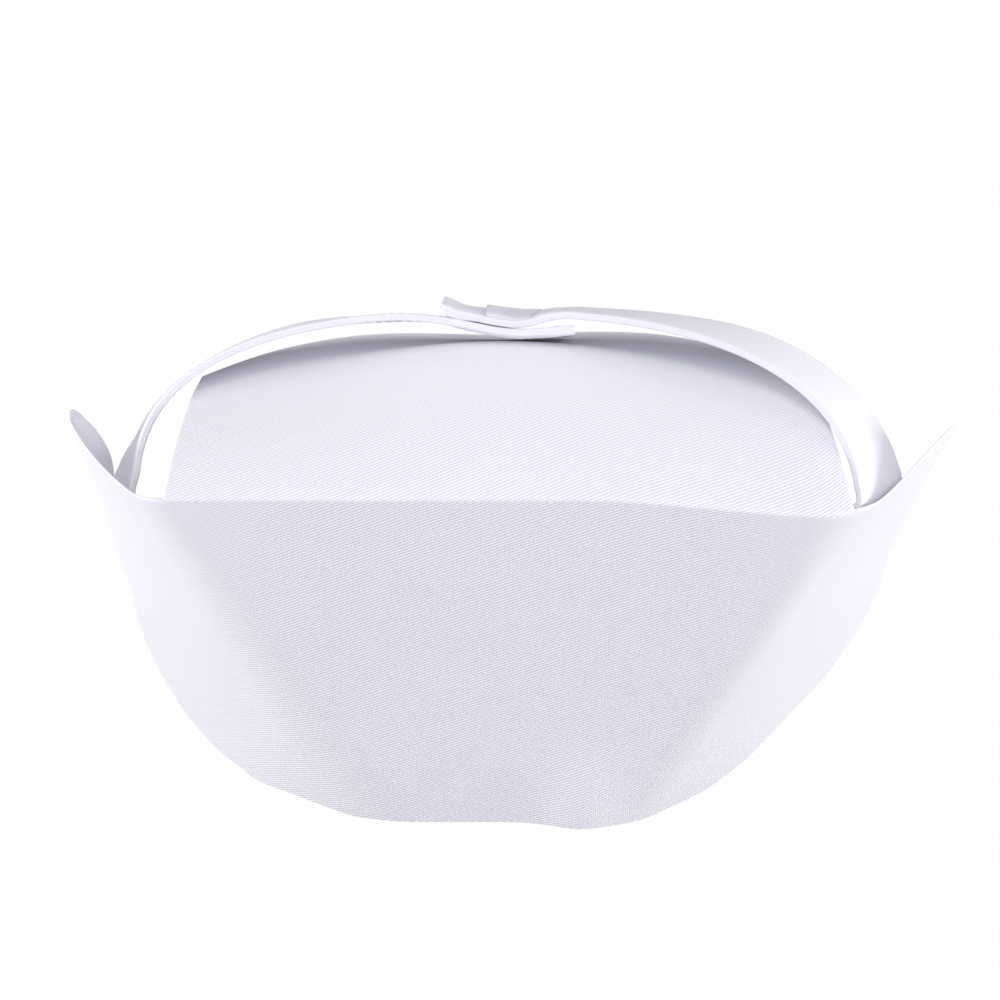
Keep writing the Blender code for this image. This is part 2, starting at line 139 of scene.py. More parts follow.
# The width runs back and down; how far it also leans aside and up, in mm, against the run from the root
WIDTH_TILT = 38.0
OVER_LEAN = (
    (0.0, (13.4, 6.6)), (0.0115, (12.0, 6.5)), (0.020, (10.6, 6.5)), (0.030, (9.6, 6.6)),
    (0.042, (8.4, 6.6)), (0.055, (7.3, 6.3)), (0.067, (6.6, 5.6)), (0.077, (6.0, 4.6)),
    (0.092, (5.2, 3.4)), (0.105, (4.4, 2.7)), (0.125, (4.0, 2.6)), (0.150, (3.6, 2.0)),
)
UNDER_LEAN = (
    (0.0, (-7.5, 2.3)), (0.007, (-6.2, 2.4)), (0.0135, (-3.6, 2.6)), (0.0225, (-2.0, 2.8)),
    (0.035, (0.3, 3.0)), (0.050, (2.1, 3.2)), (0.060, (2.9, 3.3)), (0.070, (3.1, 3.0)),
    (0.080, (3.2, 2.2)), (0.090, (3.3, 1.4)), (0.100, (3.4, 1.0)), (0.120, (3.4, 0.9)), (0.170, (3.4, 1.0)),
)
# How far each half stands off the arch, against x: they press together in the middle and part at the ends
OVER_LAYER = (
    (-0.0210, 0.0042), (-0.0173, 0.0024), (-0.0144, 0.0009), (-0.0076, -0.0006), (-0.0013, -0.0019),
    (0.0039, -0.0024), (0.0084, -0.0018), (0.0127, -0.0003), (0.0170, 0.0006), (0.0240, 0.0007),
    (0.0400, 0.0007),
)
UNDER_LAYER = (
    (-0.0400, 0.0007), (-0.0290, 0.0004), (-0.0160, -0.0013), (-0.0076, -0.0030), (-0.0013, -0.0042),
    (0.0039, -0.0047), (0.0120, -0.0043), (0.0170, -0.0039), (0.0260, -0.0026),
)
# The halves leave this room for the tapes between their edges, over the overlap
TAPE_ROOM, FAR_EDGE_EASE = 0.0007, 0.5
TAPE_ROOM_EDGE = (0.02, 0.13)
OVERLAP_START, OVERLAP_END = (-0.018, -0.011), (0.010, 0.020)
OVER_TIP_X, UNDER_TIP_X = -0.0173, 0.0207
TAIL_LENGTH = 0.010
OVER_TIP_SKEW, UNDER_TIP_SKEW, TIP_SKEW_REACH = 0.0032, -0.0045, 0.030
HEM_LENGTH, HEM_EXTRA, HEM_EASE = 0.011, 0.00060, 0.4
# Runs from the root: where the strap is near its wing, where it leaves it, and where it bends when it opens
ROOT_REACH, ROOT_LEAVES, ROOT_BEND = 0.016, (-0.004, 0.007), (0.004, 0.009, 0.014)
ROOT_COLUMNS, STRAP_COLUMNS, STRAP_ROWS = 24, 110, 15
# The part of the wings that the sewn ends lie on, and how far aside a point of it still counts
WING_SPAN, WING_DEPTH, WING_GRID, WING_ASIDE = (0.080, 0.146), 0.050, (190, 140), 0.0012

# Sewing
THREAD = 0.00013
STITCH_PITCH, STITCH_LENGTH = 0.0029, 0.0024
STITCH_INSET, STITCH_FROM = 0.0012, 0.004
STITCH_ROW_POINTS, STITCH_TIP_POINTS, STITCH_BOX_POINTS = 160, 20, 24
ROOT_SEAM_INSET, ROOT_SEAM_END, HOOK_SEAM_OUT = 0.0015, 0.002, 0.001
TAPE_COLUMNS, TAPE_ROWS = 30, 16
TAPE_LENGTH, TAPE_MARGIN = 0.024, 0.003
HOOK_TAPE_X, LOOP_TAPE_X = -0.0102, 0.0168
PATCH_FROM_X, PATCH_TO_X, PATCH_MARGIN = 0.0078, -0.0047, 0.0005

# Cloth colours, linear. Each pair is the cloth's white with the weave's light and shade painted in:
# the first colour is painted light on the yarn tops, the second is painted shade in the hollows between them.
# The front's pair lies further apart, because its painted weave shade is stronger where light grazes the
# upright front.
FRONT_WEAVE_LIT, FRONT_WEAVE_SHADED = (0.98, 0.975, 1.0), (0.58, 0.575, 0.65)
TWILL_WEAVE_LIT, TWILL_WEAVE_SHADED = (0.92, 0.915, 0.95), (0.65, 0.645, 0.705)
THREAD_TWIST_LIT, THREAD_TWIST_SHADED = (0.87, 0.87, 0.91), (0.74, 0.74, 0.79)
TAPE_WEAVE_LIT, TAPE_WEAVE_SHADED = (0.84, 0.84, 0.89), (0.66, 0.66, 0.72)
# Weave: ends and picks per metre
WEAVE_ENDS, WEAVE_PICKS = 1770.0, 4000.0
THREAD_TWIST, TAPE_ENDS, TAPE_PICKS = 9000.0, 1500.0, 2600.0
TWILL_RELIEF, THREAD_RELIEF, TAPE_RELIEF = 0.00012, 0.00004, 0.00008
TWILL_ROUGHNESS, THREAD_ROUGHNESS, TAPE_ROUGHNESS = 0.88, 0.75, 0.92
CLOTH_SPECULAR, CLOTH_SHEEN, SHEEN_ROUGHNESS = 0.25, 0.08, 0.5
# Yarns wander by this many ends, and floats make this share of the relief, the diagonal the rest
WANDER_SCALE, WANDER_ENDS = 160.0, 0.9
SLUB_SCALE, SLUB_SPREAD, SLUB_LEAST = 900.0, 0.4, 0.8
FLOAT_SHARE, DIAGONAL_SHARE = 0.45, 0.55
# Where the weave's relief and its painted light and shade fade: the way measured, from, to, and the share of
# relief and painted shade left.
# On the front panel the painted weave shade is full in the middle, where light grazes the upright front, and
# fades towards the wings;
# on the crown it fades towards the back, and the strap, thread and tapes keep a fifth of it everywhere.
ACROSS, DOWN = (1.0, 0.0, 0.0), (0.0, 1.0, 0.0)
PANEL_RELIEF_SHADE_FADE = (ACROSS, 0.050, 0.105, 0.10)
CROWN_RELIEF_SHADE_FADE = (DOWN, 0.020, 0.055, 0.16)
STRAP_RELIEF_SHADE_FADE = (ACROSS, -0.02, -0.01, 0.20)

# Stage
FLOOR_HALF, FLOOR_Z = 3.0, -0.0012
FLOOR_GREY, FLOOR_WHITE = 0.50, 0.98
# The dome is brighter in front of the cap: its level, and how much it falls towards the back
DOME_COLOUR, DOME_LEVEL, DOME_FALL = (0.92, 0.92, 1.0), 0.865, -0.50
LAMP_AIM = Vector((0.0, -0.02, 0.09))
# Name, place, size, power in watts, colour
LAMPS = (
    ("top_lamp", (0.0, -0.25, 1.5), 0.6, 3.1, (1.0, 0.99, 0.88)),
    ("left_lamp", (-1.3, -0.15, 0.15), 0.5, 10.1, (1.0, 0.99, 0.90)),
    ("right_lamp", (1.3, -0.15, 0.15), 0.5, 10.8, (1.0, 0.99, 0.90)),
)

# Camera, from the photo's view
CAMERA_ELEVATION = 38.0
CAMERA_DISTANCE = 1.0
CAMERA_LENS = 129.6
SENSOR_WIDTH = 36.0
CLIP_NEAR, CLIP_FAR = 0.01, 20.0
CAMERA_AIM = Vector((-0.0007, -0.0402, 0.1258))


def smooth_step(value, low, high):
    share = np.clip((value - low) / (high - low), 0.0, 1.0)
    return share * share * (3.0 - 2.0 * share)


def unit(vectors):
    return vectors / np.linalg.norm(vectors, axis=-1, keepdims=True)


def curve_through(points, at):
    """A smooth curve through a list of (place, value) points."""
    places = np.array([point[0] for point in points])
    values = np.array([point[1] for point in points])
    slopes = np.gradient(values, places)
    upper = np.clip(np.searchsorted(places, at), 1, len(places) - 1)
    lower = upper - 1
    step = places[upper] - places[lower]
    t = np.clip((at - places[lower]) / step, 0.0, 1.0)
    keep = 2 * t**3 - 3 * t**2 + 1
    rise_low = (t**3 - 2 * t**2 + t) * step * slopes[lower]
    rise_high = (t**3 - t**2) * step * slopes[upper]
    return keep * values[lower] + (1 - keep) * values[upper] + rise_low + rise_high


def cloth_ripple(across, down):
    """Small unevenness of stiff pressed cloth, in metres off the surface."""
    flat = np.broadcast(across, down)
    ripple = np.zeros(flat.shape)
    for index, (a, d) in zip(np.ndindex(flat.shape), flat):
        for height, waves_across, waves_down, layer in (BROAD_RIPPLE, FINE_RIPPLE):
            ripple[index] += height * noise.noise(Vector((a * waves_across, d * waves_down, layer)))
    return ripple


# Front panel

def bend_line(right, share):
    crest = np.where(right, RIGHT_CREST_HALF, LEFT_CREST_HALF)
    return crest + (np.where(right, RIGHT_FOOT, LEFT_FOOT) - crest) * share


def bend_half(right, share):
    crest, low, down = (np.where(right, *pair) for pair in zip(RIGHT_BEND, LEFT_BEND))
    return crest + (low - crest) * smooth_step(share, 0.0, down)


def panel_half(right, share):
    reach = np.where(right, curve_through(RIGHT_OUTLINE, share), curve_through(LEFT_OUTLINE, share))
    return bend_line(right, share) + reach


def along_arc(place, heading, length, rate):
    """Seen from above, the place and heading after this length of cloth that turns at a steady rate."""
    half_turn = 0.5 * rate * length
    chord = length * np.sinc(half_turn / pi)
    step = np.stack((np.cos(heading + half_turn), np.sin(heading + half_turn)), -1)
    return place + step * chord[..., None], heading + 2 * half_turn


def crest_dip(x, beyond, share):
    """The crest sinks and leans forward towards its right end, where the panel folds back sharply."""
    amount = smooth_step(x, CREST_DIP_FROM, CREST_DIP_TO)
    amount = amount * (1 - smooth_step(beyond, 0.0, WING_DIP_REACH)) * (1 - share) ** 2
    return amount[..., None] * np.array(CREST_DIP)


def panel_place(across, drop, dipped=True):
    """The panel's outer face: across runs along the cloth from the middle, drop runs down from the crest."""
    across, drop = np.broadcast_arrays(np.asarray(across, float), np.asarray(drop, float))
    right = across >= 0
    share = np.clip(drop / PANEL_HEIGHT, 0.0, 1.0)
    top, foot = (np.where(right, *pair) for pair in zip(RIGHT_SWEEP, LEFT_SWEEP))
    sweep = np.radians(top + (foot - top) * share)
    bend = bend_half(right, share)
    start = bend_line(right, share) - bend
    past = np.abs(across) - start
    beyond = np.maximum(past - 2 * bend, 0.0)
    place = np.stack((np.minimum(np.abs(across), start), PANEL_TUCK * share**2), -1)
    place, heading = along_arc(place, 0.0, np.clip(past, 0.0, 2 * bend), 0.5 * sweep / bend)
    turn = np.where(right, 0.0, LEFT_WING_TURN * np.maximum(1 - share / LEFT_WING_TURN_DOWN, 0.0))
    roll_start = np.where(right, NO_ROLL, curve_through(LEFT_ROLL_START, share))
    place, heading = along_arc(place, heading, np.minimum(beyond, roll_start), turn)
    place, heading = along_arc(place, heading, np.maximum(beyond - roll_start, 0.0), 1 / LEFT_ROLL_RADIUS)
    x, y = place[..., 0], place[..., 1]
    bulge = np.exp(-(((across - FOOT_BULGE_AT) / FOOT_BULGE_WIDTH) ** 2))
    bulge = bulge * smooth_step(share, FOOT_BULGE_FROM, 1.0)
    place = np.stack((np.where(right, x, -x), CREST_Y + y - FOOT_BULGE * bulge, PANEL_HEIGHT - drop), -1)
    if dipped:
        place = place + crest_dip(place[..., 0], beyond, share)
    return place


def grid_normals(points):
    """Unit normals of a grid of points, from its rows and columns."""
    along = np.gradient(points, axis=1)
    down = np.gradient(points, axis=0)
    return unit(np.cross(along, down))


# Crown

def crown_table():
    """Back and up from the crest seam against the run: the rounded crest, then the crown's easy arch."""
    runs = np.linspace(0.0, CROWN_RUN_END, CROWN_RUN_STEPS)
    fold = radians(90.0 - CROWN_FRONT_SLOPE) * CREST_RADIUS
    share = np.clip((runs - fold) / CROWN_DEPTH, 0.0, CROWN_SHARE_END)
    arch = CROWN_FRONT_SLOPE + (CROWN_BACK_SLOPE - CROWN_FRONT_SLOPE) * share**CROWN_SLOPE_EASE
    slope = np.radians(np.where(runs < fold, 90.0 - np.degrees(runs / CREST_RADIUS), arch))
    step = runs[1] - runs[0]
    between = slope[:-1] * 0.5 + slope[1:] * 0.5
    back, up = (np.concatenate(((0.0,), np.cumsum(way(between)) * step)) for way in (np.cos, np.sin))
    return runs, back, up


CROWN_RUNS, CROWN_BACK, CROWN_UP = crown_table()


def crown_place(side, share):
    """The crown's top face: side runs -1 to 1, share runs 0 at the crest seam to 1 at the back edge."""
    half = np.where(side >= 0, RIGHT_CROWN_HALF, LEFT_CROWN_HALF)
    corner = np.where(side >= 0, RIGHT_CROWN_CORNER, LEFT_CROWN_CORNER)
    taper = np.where(side >= 0, RIGHT_CROWN_TAPER, LEFT_CROWN_TAPER)
    length = CROWN_DEPTH * (1 - corner * np.abs(side) ** CROWN_CORNER_POWER)
    run = length * share
    seam = panel_place(side * half, CREST_SEAM_DROP, dipped=False)
    dipped = panel_place(side * half, CREST_SEAM_DROP)
    fade = 1 - smooth_step(run, 0.0, CROWN_DIP_REACH)
    back = np.interp(run, CROWN_RUNS, CROWN_BACK)
    up = np.interp(run, CROWN_RUNS, CROWN_UP)
    place = seam + (dipped - seam) * fade[..., None]
    place[..., 0] -= side * taper * run
    place[..., 1] += back
    ridge = CROWN_RIDGE * curve_through(CROWN_RIDGE_RUN, run)
    ridge = ridge * np.exp(-((side * half / CROWN_RIDGE_WIDTH) ** 2))
    corner_drop = np.where(side >= 0, RIGHT_CORNER_DROP, LEFT_CORNER_DROP)
    place[..., 2] += up + ridge - corner_drop * np.abs(side) ** 3 * (run / CROWN_DEPTH) ** 2
    return place, run


# Straps

def strap_arch():
    """The near edge of the strap from the right root over to the left root."""
    angle = np.linspace(0.0, pi, 401)
    right = np.cos(angle) >= 0
    root = np.where(right[:, None], RIGHT_ROOT, LEFT_ROOT)
    rise = np.array(STRAP_TOP) - root * np.array((0.0, 1.0, 1.0))
    depth = np.linalg.norm(rise, axis=1)
    half = np.abs(root[:, 0])
    fullness = np.where(right, RIGHT_FULLNESS, LEFT_FULLNESS)
    radius = np.abs(np.cos(angle) / half) ** fullness + (np.sin(angle) / depth) ** fullness
    radius = radius ** (-1 / fullness)
    points = root + rise * (radius * np.sin(angle) / depth)[:, None]
    points[:, 0] = radius * np.cos(angle)
    return points


def strap_width(right, run):
    """The vector across a strap half at this run from its root."""
    leans = OVER_LEAN if right else UNDER_LEAN
    curves = ([(place, lean[axis]) for place, lean in leans] for axis in (0, 1))
    aside, rise = (0.001 * curve_through(curve, run) for curve in curves)
    back = np.sqrt(STRAP_WIDTH**2 - aside**2 - rise**2)
    tilt = radians(WIDTH_TILT)
    return np.stack((aside, back * cos(tilt) + rise * sin(tilt), rise * cos(tilt) - back * sin(tilt)), -1)


ARCH_POINTS = strap_arch()
ARCH_RUNS = np.concatenate(((0.0,), np.cumsum(np.linalg.norm(np.diff(ARCH_POINTS, axis=0), axis=1))))
ARCH_LENGTH = float(ARCH_RUNS[-1])


def run_at_x(right, x):
    """How far from its root a strap half's near edge passes this x."""
    run = float(np.interp(-x, -ARCH_POINTS[:, 0], ARCH_RUNS))
    return run if right else ARCH_LENGTH - run


def arch_place(run):
    return np.stack([np.interp(run, ARCH_RUNS, ARCH_POINTS[:, axis]) for axis in range(3)], -1)


def layer_lift(right, x, across):
    """How far this half stands off the arch. Inside the overlap the halves leave room for the tapes."""
    lift = curve_through(OVER_LAYER if right else UNDER_LAYER, x)
    inside = smooth_step(np.minimum(across, 1 - across), *TAPE_ROOM_EDGE)
    overlap = smooth_step(x, *OVERLAP_START) * (1 - smooth_step(x, *OVERLAP_END))
    if right:
        lift = np.where(lift < 0, lift * (1 - FAR_EDGE_EASE * across), lift)
    return lift + TAPE_ROOM * inside * overlap * (1.0 if right else -1.0)


def wing_tree():
    """Points on the inner faces of the wings, for laying the strap ends on them."""
    points, normals = [], []
    for side in (-1.0, 1.0):
        columns, rows = WING_GRID
        across, drop = np.meshgrid(side * np.linspace(*WING_SPAN, columns), np.linspace(0.0, WING_DEPTH, rows))
        face = panel_place(across, drop)
        inward = grid_normals(face) * side
        points.append((face + inward * PANEL_STACK).reshape(-1, 3))
        normals.append(inward.reshape(-1, 3))
    points, normals = np.concatenate(points), np.concatenate(normals)
    tree = kdtree.KDTree(len(points))
    for number, point in enumerate(points):
        tree.insert(Vector(point), number)
    tree.balance()
    return tree, normals


WING_TREE, WING_NORMALS = wing_tree()


def lie_on_wing(points, weights):
    """Points moved towards the wing's inner face by their weights, and never into it."""
    rest = PLY_GAP + 0.5 * STRAP_STACK
    moved = points.copy()
    for index in np.ndindex(points.shape[:-1]):
        near, number, _ = WING_TREE.find(Vector(points[index]))
        normal = WING_NORMALS[number]
        away = points[index] - np.array(near)
        height = float(away @ normal)
        if np.linalg.norm(away - normal * height) > WING_ASIDE:
            continue
        wanted = max(height + (rest - height) * weights[index], rest)
        moved[index] = points[index] + normal * (wanted - height)
    return moved


def strap_place(right, run, across):
    """Middle of the strap half. Run is 0 at its root; the sewn end goes on below it, on the wing."""
    run, across = np.broadcast_arrays(np.asarray(run, float), np.asarray(across, float))
    on_arch = np.clip(run, 1e-4, ARCH_LENGTH)
    on_arch = on_arch if right else ARCH_LENGTH - on_arch
    step = 2e-4
    point = arch_place(on_arch)
    width = strap_width(right, np.maximum(run, 0.0))
    tangent = unit(arch_place(on_arch + step) - arch_place(on_arch - step))
    normal = unit(np.cross(width, tangent))
    lift = layer_lift(right, point[..., 0], across)
    below = np.minimum(run, 0.0) * (1.0 if right else -1.0)
    points = point + width * across[..., None] + normal * lift[..., None] + tangent * below[..., None]
    near_root = run < ROOT_REACH
    if near_root.any():
        weights = 1 - smooth_step(run[near_root], *ROOT_LEAVES)
        points[near_root] = lie_on_wing(points[near_root], weights)
    return points


# Meshes

TURNED_EDGE = ((0.06, 0.45), (0.18, 0.80), (0.34, 0.97), (0.50, 1.0), (0.66, 0.97), (0.82, 0.80), (0.94, 0.45))
SEAMED_EDGE = ((0.07, 0.50), (0.20, 0.90), (0.37, 0.98), (0.46, 0.90), (0.50, 0.70),
               (0.54, 0.90), (0.63, 0.98), (0.80, 0.90), (0.93, 0.50))


def border_of(rows, columns):
    """The grid's border vertices, in order round it."""
    top = [(0, c) for c in range(columns)]
    right = [(r, columns - 1) for r in range(1, rows)]
    bottom = [(rows - 1, c) for c in range(columns - 2, -1, -1)]
    left = [(r, 0) for r in range(rows - 2, 0, -1)]
    return top + right + bottom + left


def off_edge(points, rows, columns, border):
    """For each border vertex, the unit direction in the cloth that leaves the cloth."""
    ways = []
    for row, column in border:
        way = np.zeros(points.shape[-1])
        if row in (0, rows - 1):
            inner = 1 if row == 0 else rows - 2
            way += unit(points[row, column] - points[inner, column])
        if column in (0, columns - 1):
            inner = 1 if column == 0 else columns - 2
            way += unit(points[row, column] - points[row, inner])
        ways.append(unit(way))
    return ways


def cloth_shell(name, outer, inner, flat, material, butt=(), edge=SEAMED_EDGE):
    """A closed doubled cloth: two faces and the edge that goes round between them. butt holds border
    places that meet the next cloth without an edge, with the normal that both cloths share there."""
    rows, columns = outer.shape[:2]
    butt = dict(butt)
    border = border_of(rows, columns)
    ways = off_edge(0.5 * (outer + inner), rows, columns, border)
    index = np.arange(rows * columns).reshape(rows, columns)
    verts = list(outer.reshape(-1, 3)) + list(inner.reshape(-1, 3))
    places = list(flat.reshape(-1, 2)) * 2
    second = rows * columns
    faces = []
    for row in range(rows - 1):
        for column in range(columns - 1):
            above, below = index[row], index[row + 1]
            quad = (above[column], above[column + 1], below[column + 1], below[column])
            faces.append(quad)
            faces.append(tuple(second + corner for corner in reversed(quad)))
    rings, ring_places = [], []
    flat_ways = off_edge(flat, rows, columns, border)
    for (row, column), way, flat_way in zip(border, ways, flat_ways):
        ring = [index[row, column]]
        thickness = np.linalg.norm(outer[row, column] - inner[row, column])
        reach = 0.0 if (row, column) in butt else min(EDGE_ROUND, 0.5 * thickness)
        round_edge = 2 * reach + thickness
        for share, out in edge:
            ring.append(len(verts))
            across_edge = outer[row, column] * (1 - share) + inner[row, column] * share
            verts.append(across_edge + way * reach * out)
            places.append(flat[row, column])
        ring.append(second + index[row, column])
        rings.append(ring)
        shares = (0.0, *(share for share, _ in edge), 1.0)
        ring_places.append([flat[row, column] + flat_way * round_edge * share for share in shares])
    edge_places = {}
    for number, one in enumerate(rings):
        after = (number + 1) % len(rings)
        two = rings[after]
        for low, high in zip(range(len(one) - 1), range(1, len(one))):
            spots = {one[step]: ring_places[number][step] for step in (low, high)}
            spots.update({two[step]: ring_places[after][step] for step in (low, high)})
            edge_places[len(faces)] = spots
            faces.append((one[low], one[high], two[high], two[low]))
    mesh = bpy.data.meshes.new(name)
    corners = [tuple(int(corner) for corner in face) for face in faces]
    mesh.from_pydata([Vector(vert) for vert in verts], [], corners)
    tidy_normals(mesh)
    lay_flat(mesh, places, edge_places)
    mesh.materials.append(material)
    mesh.shade_smooth()
    if butt:
        normals = [tuple(vertex.normal) for vertex in mesh.vertices]
        for (row, column), shared in butt.items():
            normals[index[row, column]] = tuple(shared)
            normals[second + index[row, column]] = tuple(-shared)
        mesh.normals_split_custom_set_from_vertices(normals)
    return add_piece(name, mesh)


def tidy_normals(mesh):
    work = bmesh.new()
    work.from_mesh(mesh)
    bmesh.ops.recalc_face_normals(work, faces=work.faces)
    work.to_mesh(mesh)
    work.free()


def lay_flat(mesh, places, edge_places=None):
    """The cloth's own flat coordinates in metres, which the weave follows. Faces of an edge have their
    own, so that the weave goes on round it."""
    layer = mesh.uv_layers.new(name="cloth")
    corners = np.empty(len(mesh.loops), np.int32)
    mesh.loops.foreach_get("vertex_index", corners)
    spots = np.array(places, np.float32)[corners]
    for face, edge_spots in (edge_places or {}).items():
        for corner in mesh.polygons[face].loop_indices:
            spots[corner] = edge_spots[corners[corner]]
    layer.uv.foreach_set("vector", spots.ravel())


def add_piece(name, mesh):
    piece = bpy.data.objects.new(name, mesh)
    bpy.context.scene.collection.objects.link(piece)
    return piece


STITCH_SIDES = 6
STITCH_FLATNESS = 0.8
# Share of the stitch's length, then its size and height in thread radii
STITCH_SECTIONS = (
    (0.0, 0.35, -0.9), (0.12, 0.85, -0.1), (0.5, 1.0, 0.35), (0.88, 0.85, -0.1), (1.0, 0.35, -0.9),
)


def along_row(at, runs, values):
    return np.array([np.interp(at, runs, values[:, axis]) for axis in range(3)])


def stitches(name, rows, material):
    """Lock stitches: each is a short thread that dips into the cloth at both ends. A row is points
    and normals."""
    step = 1e-4
    verts, faces, places = [], [], []
    for points, normals in rows:
        runs = np.concatenate(((0.0,), np.cumsum(np.linalg.norm(np.diff(points, axis=0), axis=1))))
        count = max(int(runs[-1] / STITCH_PITCH), 1)
        pitch = runs[-1] / count
        length = pitch * STITCH_LENGTH / STITCH_PITCH
        for number in range(count):
            start = number * pitch + 0.5 * (pitch - length)
            first = len(verts)
            for share, size, height in STITCH_SECTIONS:
                at = start + share * length
                way = along_row(at + step, runs, points) - along_row(at - step, runs, points)
                up = unit(along_row(at, runs, normals))
                sideways = unit(np.cross(up, way))
                centre = along_row(at, runs, points) + up * height * THREAD
                for corner in range(STITCH_SIDES):
                    turn = 2 * pi * corner / STITCH_SIDES
                    offset = sideways * cos(turn) + up * sin(turn) * STITCH_FLATNESS
                    verts.append(Vector(centre + offset * THREAD * size))
                    places.append((at, turn * THREAD))
            for section in range(len(STITCH_SECTIONS) - 1):
                base = first + section * STITCH_SIDES
                ahead = base + STITCH_SIDES
                for corner in range(STITCH_SIDES):
                    after = (corner + 1) % STITCH_SIDES
                    faces.append((base + corner, base + after, ahead + after, ahead + corner))
            faces.append(tuple(first + corner for corner in reversed(range(STITCH_SIDES))))
            last = first + (len(STITCH_SECTIONS) - 1) * STITCH_SIDES
            faces.append(tuple(last + corner for corner in range(STITCH_SIDES)))
    mesh = bpy.data.meshes.new(name)
    mesh.from_pydata(verts, [], faces)
    tidy_normals(mesh)
    lay_flat(mesh, places)
    mesh.materials.append(material)
    mesh.shade_smooth()
    return add_piece(name, mesh)


# Materials

def link_math(tree, operation, first, second=None, third=None):
    node = tree.nodes.new("ShaderNodeMath")
    node.operation = operation
    for socket, value in zip(node.inputs, (first, second, third)):
        if value is None:
            continue
        if isinstance(value, (int, float)):
            socket.default_value = value
        else:
            tree.links.new(value, socket)
    return node.outputs[0]


def new_group(name, inputs, outputs):
    tree = bpy.data.node_groups.new(name, "ShaderNodeTree")
    for label, kind in inputs:
        tree.interface.new_socket(label, in_out="INPUT", socket_type=kind)
    for label, kind in outputs:
        tree.interface.new_socket(label, in_out="OUTPUT", socket_type=kind)
    return tree, tree.nodes.new("NodeGroupInput"), tree.nodes.new("NodeGroupOutput")


def twill_weave_group():
    """Three-and-one twill: upright yarns whose dips step up one pick at each end and draw the diagonal. Shade
    is the painted light on the yarns and the painted shade in their dips; Height is the same relief for the
    bump.
    """

    def math(operation, *values):
        return link_math(tree, operation, *values)

    tree, given, made = new_group(
        "twill_weave",
        (
            ("Place", "NodeSocketVector"), ("Ends", "NodeSocketFloat"), ("Picks", "NodeSocketFloat"),
            ("Fade Way", "NodeSocketVector"), ("Fade From", "NodeSocketFloat"),
            ("Fade To", "NodeSocketFloat"), ("Relief And Shade Left", "NodeSocketFloat"),
        ),
        (("Shade", "NodeSocketFloat"), ("Height", "NodeSocketFloat")),
    )
    wander = tree.nodes.new("ShaderNodeTexNoise")
    wander.inputs["Scale"].default_value = WANDER_SCALE
    wander.inputs["Detail"].default_value = 2.0
    tree.links.new(given.outputs["Place"], wander.inputs["Vector"])
    split = tree.nodes.new("ShaderNodeSeparateXYZ")
    tree.links.new(given.outputs["Place"], split.inputs[0])
    drift = math("MULTIPLY_ADD", wander.outputs[0], WANDER_ENDS, -0.5 * WANDER_ENDS)
    end = math("MULTIPLY_ADD", split.outputs[0], given.outputs["Ends"], drift)
    pick = math("MULTIPLY", split.outputs[1], given.outputs["Picks"])
    end_number = math("FLOOR", end)
    in_end = math("SUBTRACT", end, end_number)
    off_middle = math("MULTIPLY_ADD", in_end, 2.0, -1.0)
    yarn = math("SUBTRACT", 1.0, math("POWER", math("ABSOLUTE", off_middle), 2.0))
    stepped = math("FRACT", math("MULTIPLY", math("SUBTRACT", pick, end_number), 0.25))
    from_dip = math("ABSOLUTE", math("MULTIPLY_ADD", stepped, 2.0, -1.0))
    float_top = math("SUBTRACT", 1.0, math("POWER", from_dip, 3.0))
    yarn_float = math("MULTIPLY", yarn, float_top)
    slant = math("MULTIPLY", math("SUBTRACT", pick, end), 0.5 * pi)
    diagonal = math("MULTIPLY_ADD", math("COSINE", math("ADD", slant, pi)), 0.5, 0.5)
    weave = math("MULTIPLY_ADD", yarn_float, FLOAT_SHARE, math("MULTIPLY", diagonal, DIAGONAL_SHARE))
    slub = tree.nodes.new("ShaderNodeTexNoise")
    slub.inputs["Scale"].default_value = SLUB_SCALE
    slub.inputs["Detail"].default_value = 3.0
    tree.links.new(given.outputs["Place"], slub.inputs["Vector"])
    uneven = math("MULTIPLY_ADD", slub.outputs[0], SLUB_SPREAD, SLUB_LEAST)
    # The relief and the painted weave shade fade together along the given way, down to the share left.
    relief_shade_fade = tree.nodes.new("ShaderNodeMapRange")
    relief_shade_fade.interpolation_type = "SMOOTHSTEP"
    way = tree.nodes.new("ShaderNodeVectorMath")
    way.operation = "DOT_PRODUCT"
    tree.links.new(given.outputs["Place"], way.inputs[0])
    tree.links.new(given.outputs["Fade Way"], way.inputs[1])
    tree.links.new(math("ABSOLUTE", way.outputs["Value"]), relief_shade_fade.inputs["Value"])
    tree.links.new(given.outputs["Fade From"], relief_shade_fade.inputs["From Min"])
    tree.links.new(given.outputs["Fade To"], relief_shade_fade.inputs["From Max"])
    relief_shade_fade.inputs["To Min"].default_value = 1.0
    tree.links.new(given.outputs["Relief And Shade Left"], relief_shade_fade.inputs["To Max"])
    off_mean = math("MULTIPLY_ADD", weave, uneven, -0.5)
    relief = math("MULTIPLY", off_mean, relief_shade_fade.outputs["Result"])
    tree.links.new(relief, made.inputs["Height"])
    tree.links.new(math("ADD", relief, 0.5), made.inputs["Shade"])
    return tree


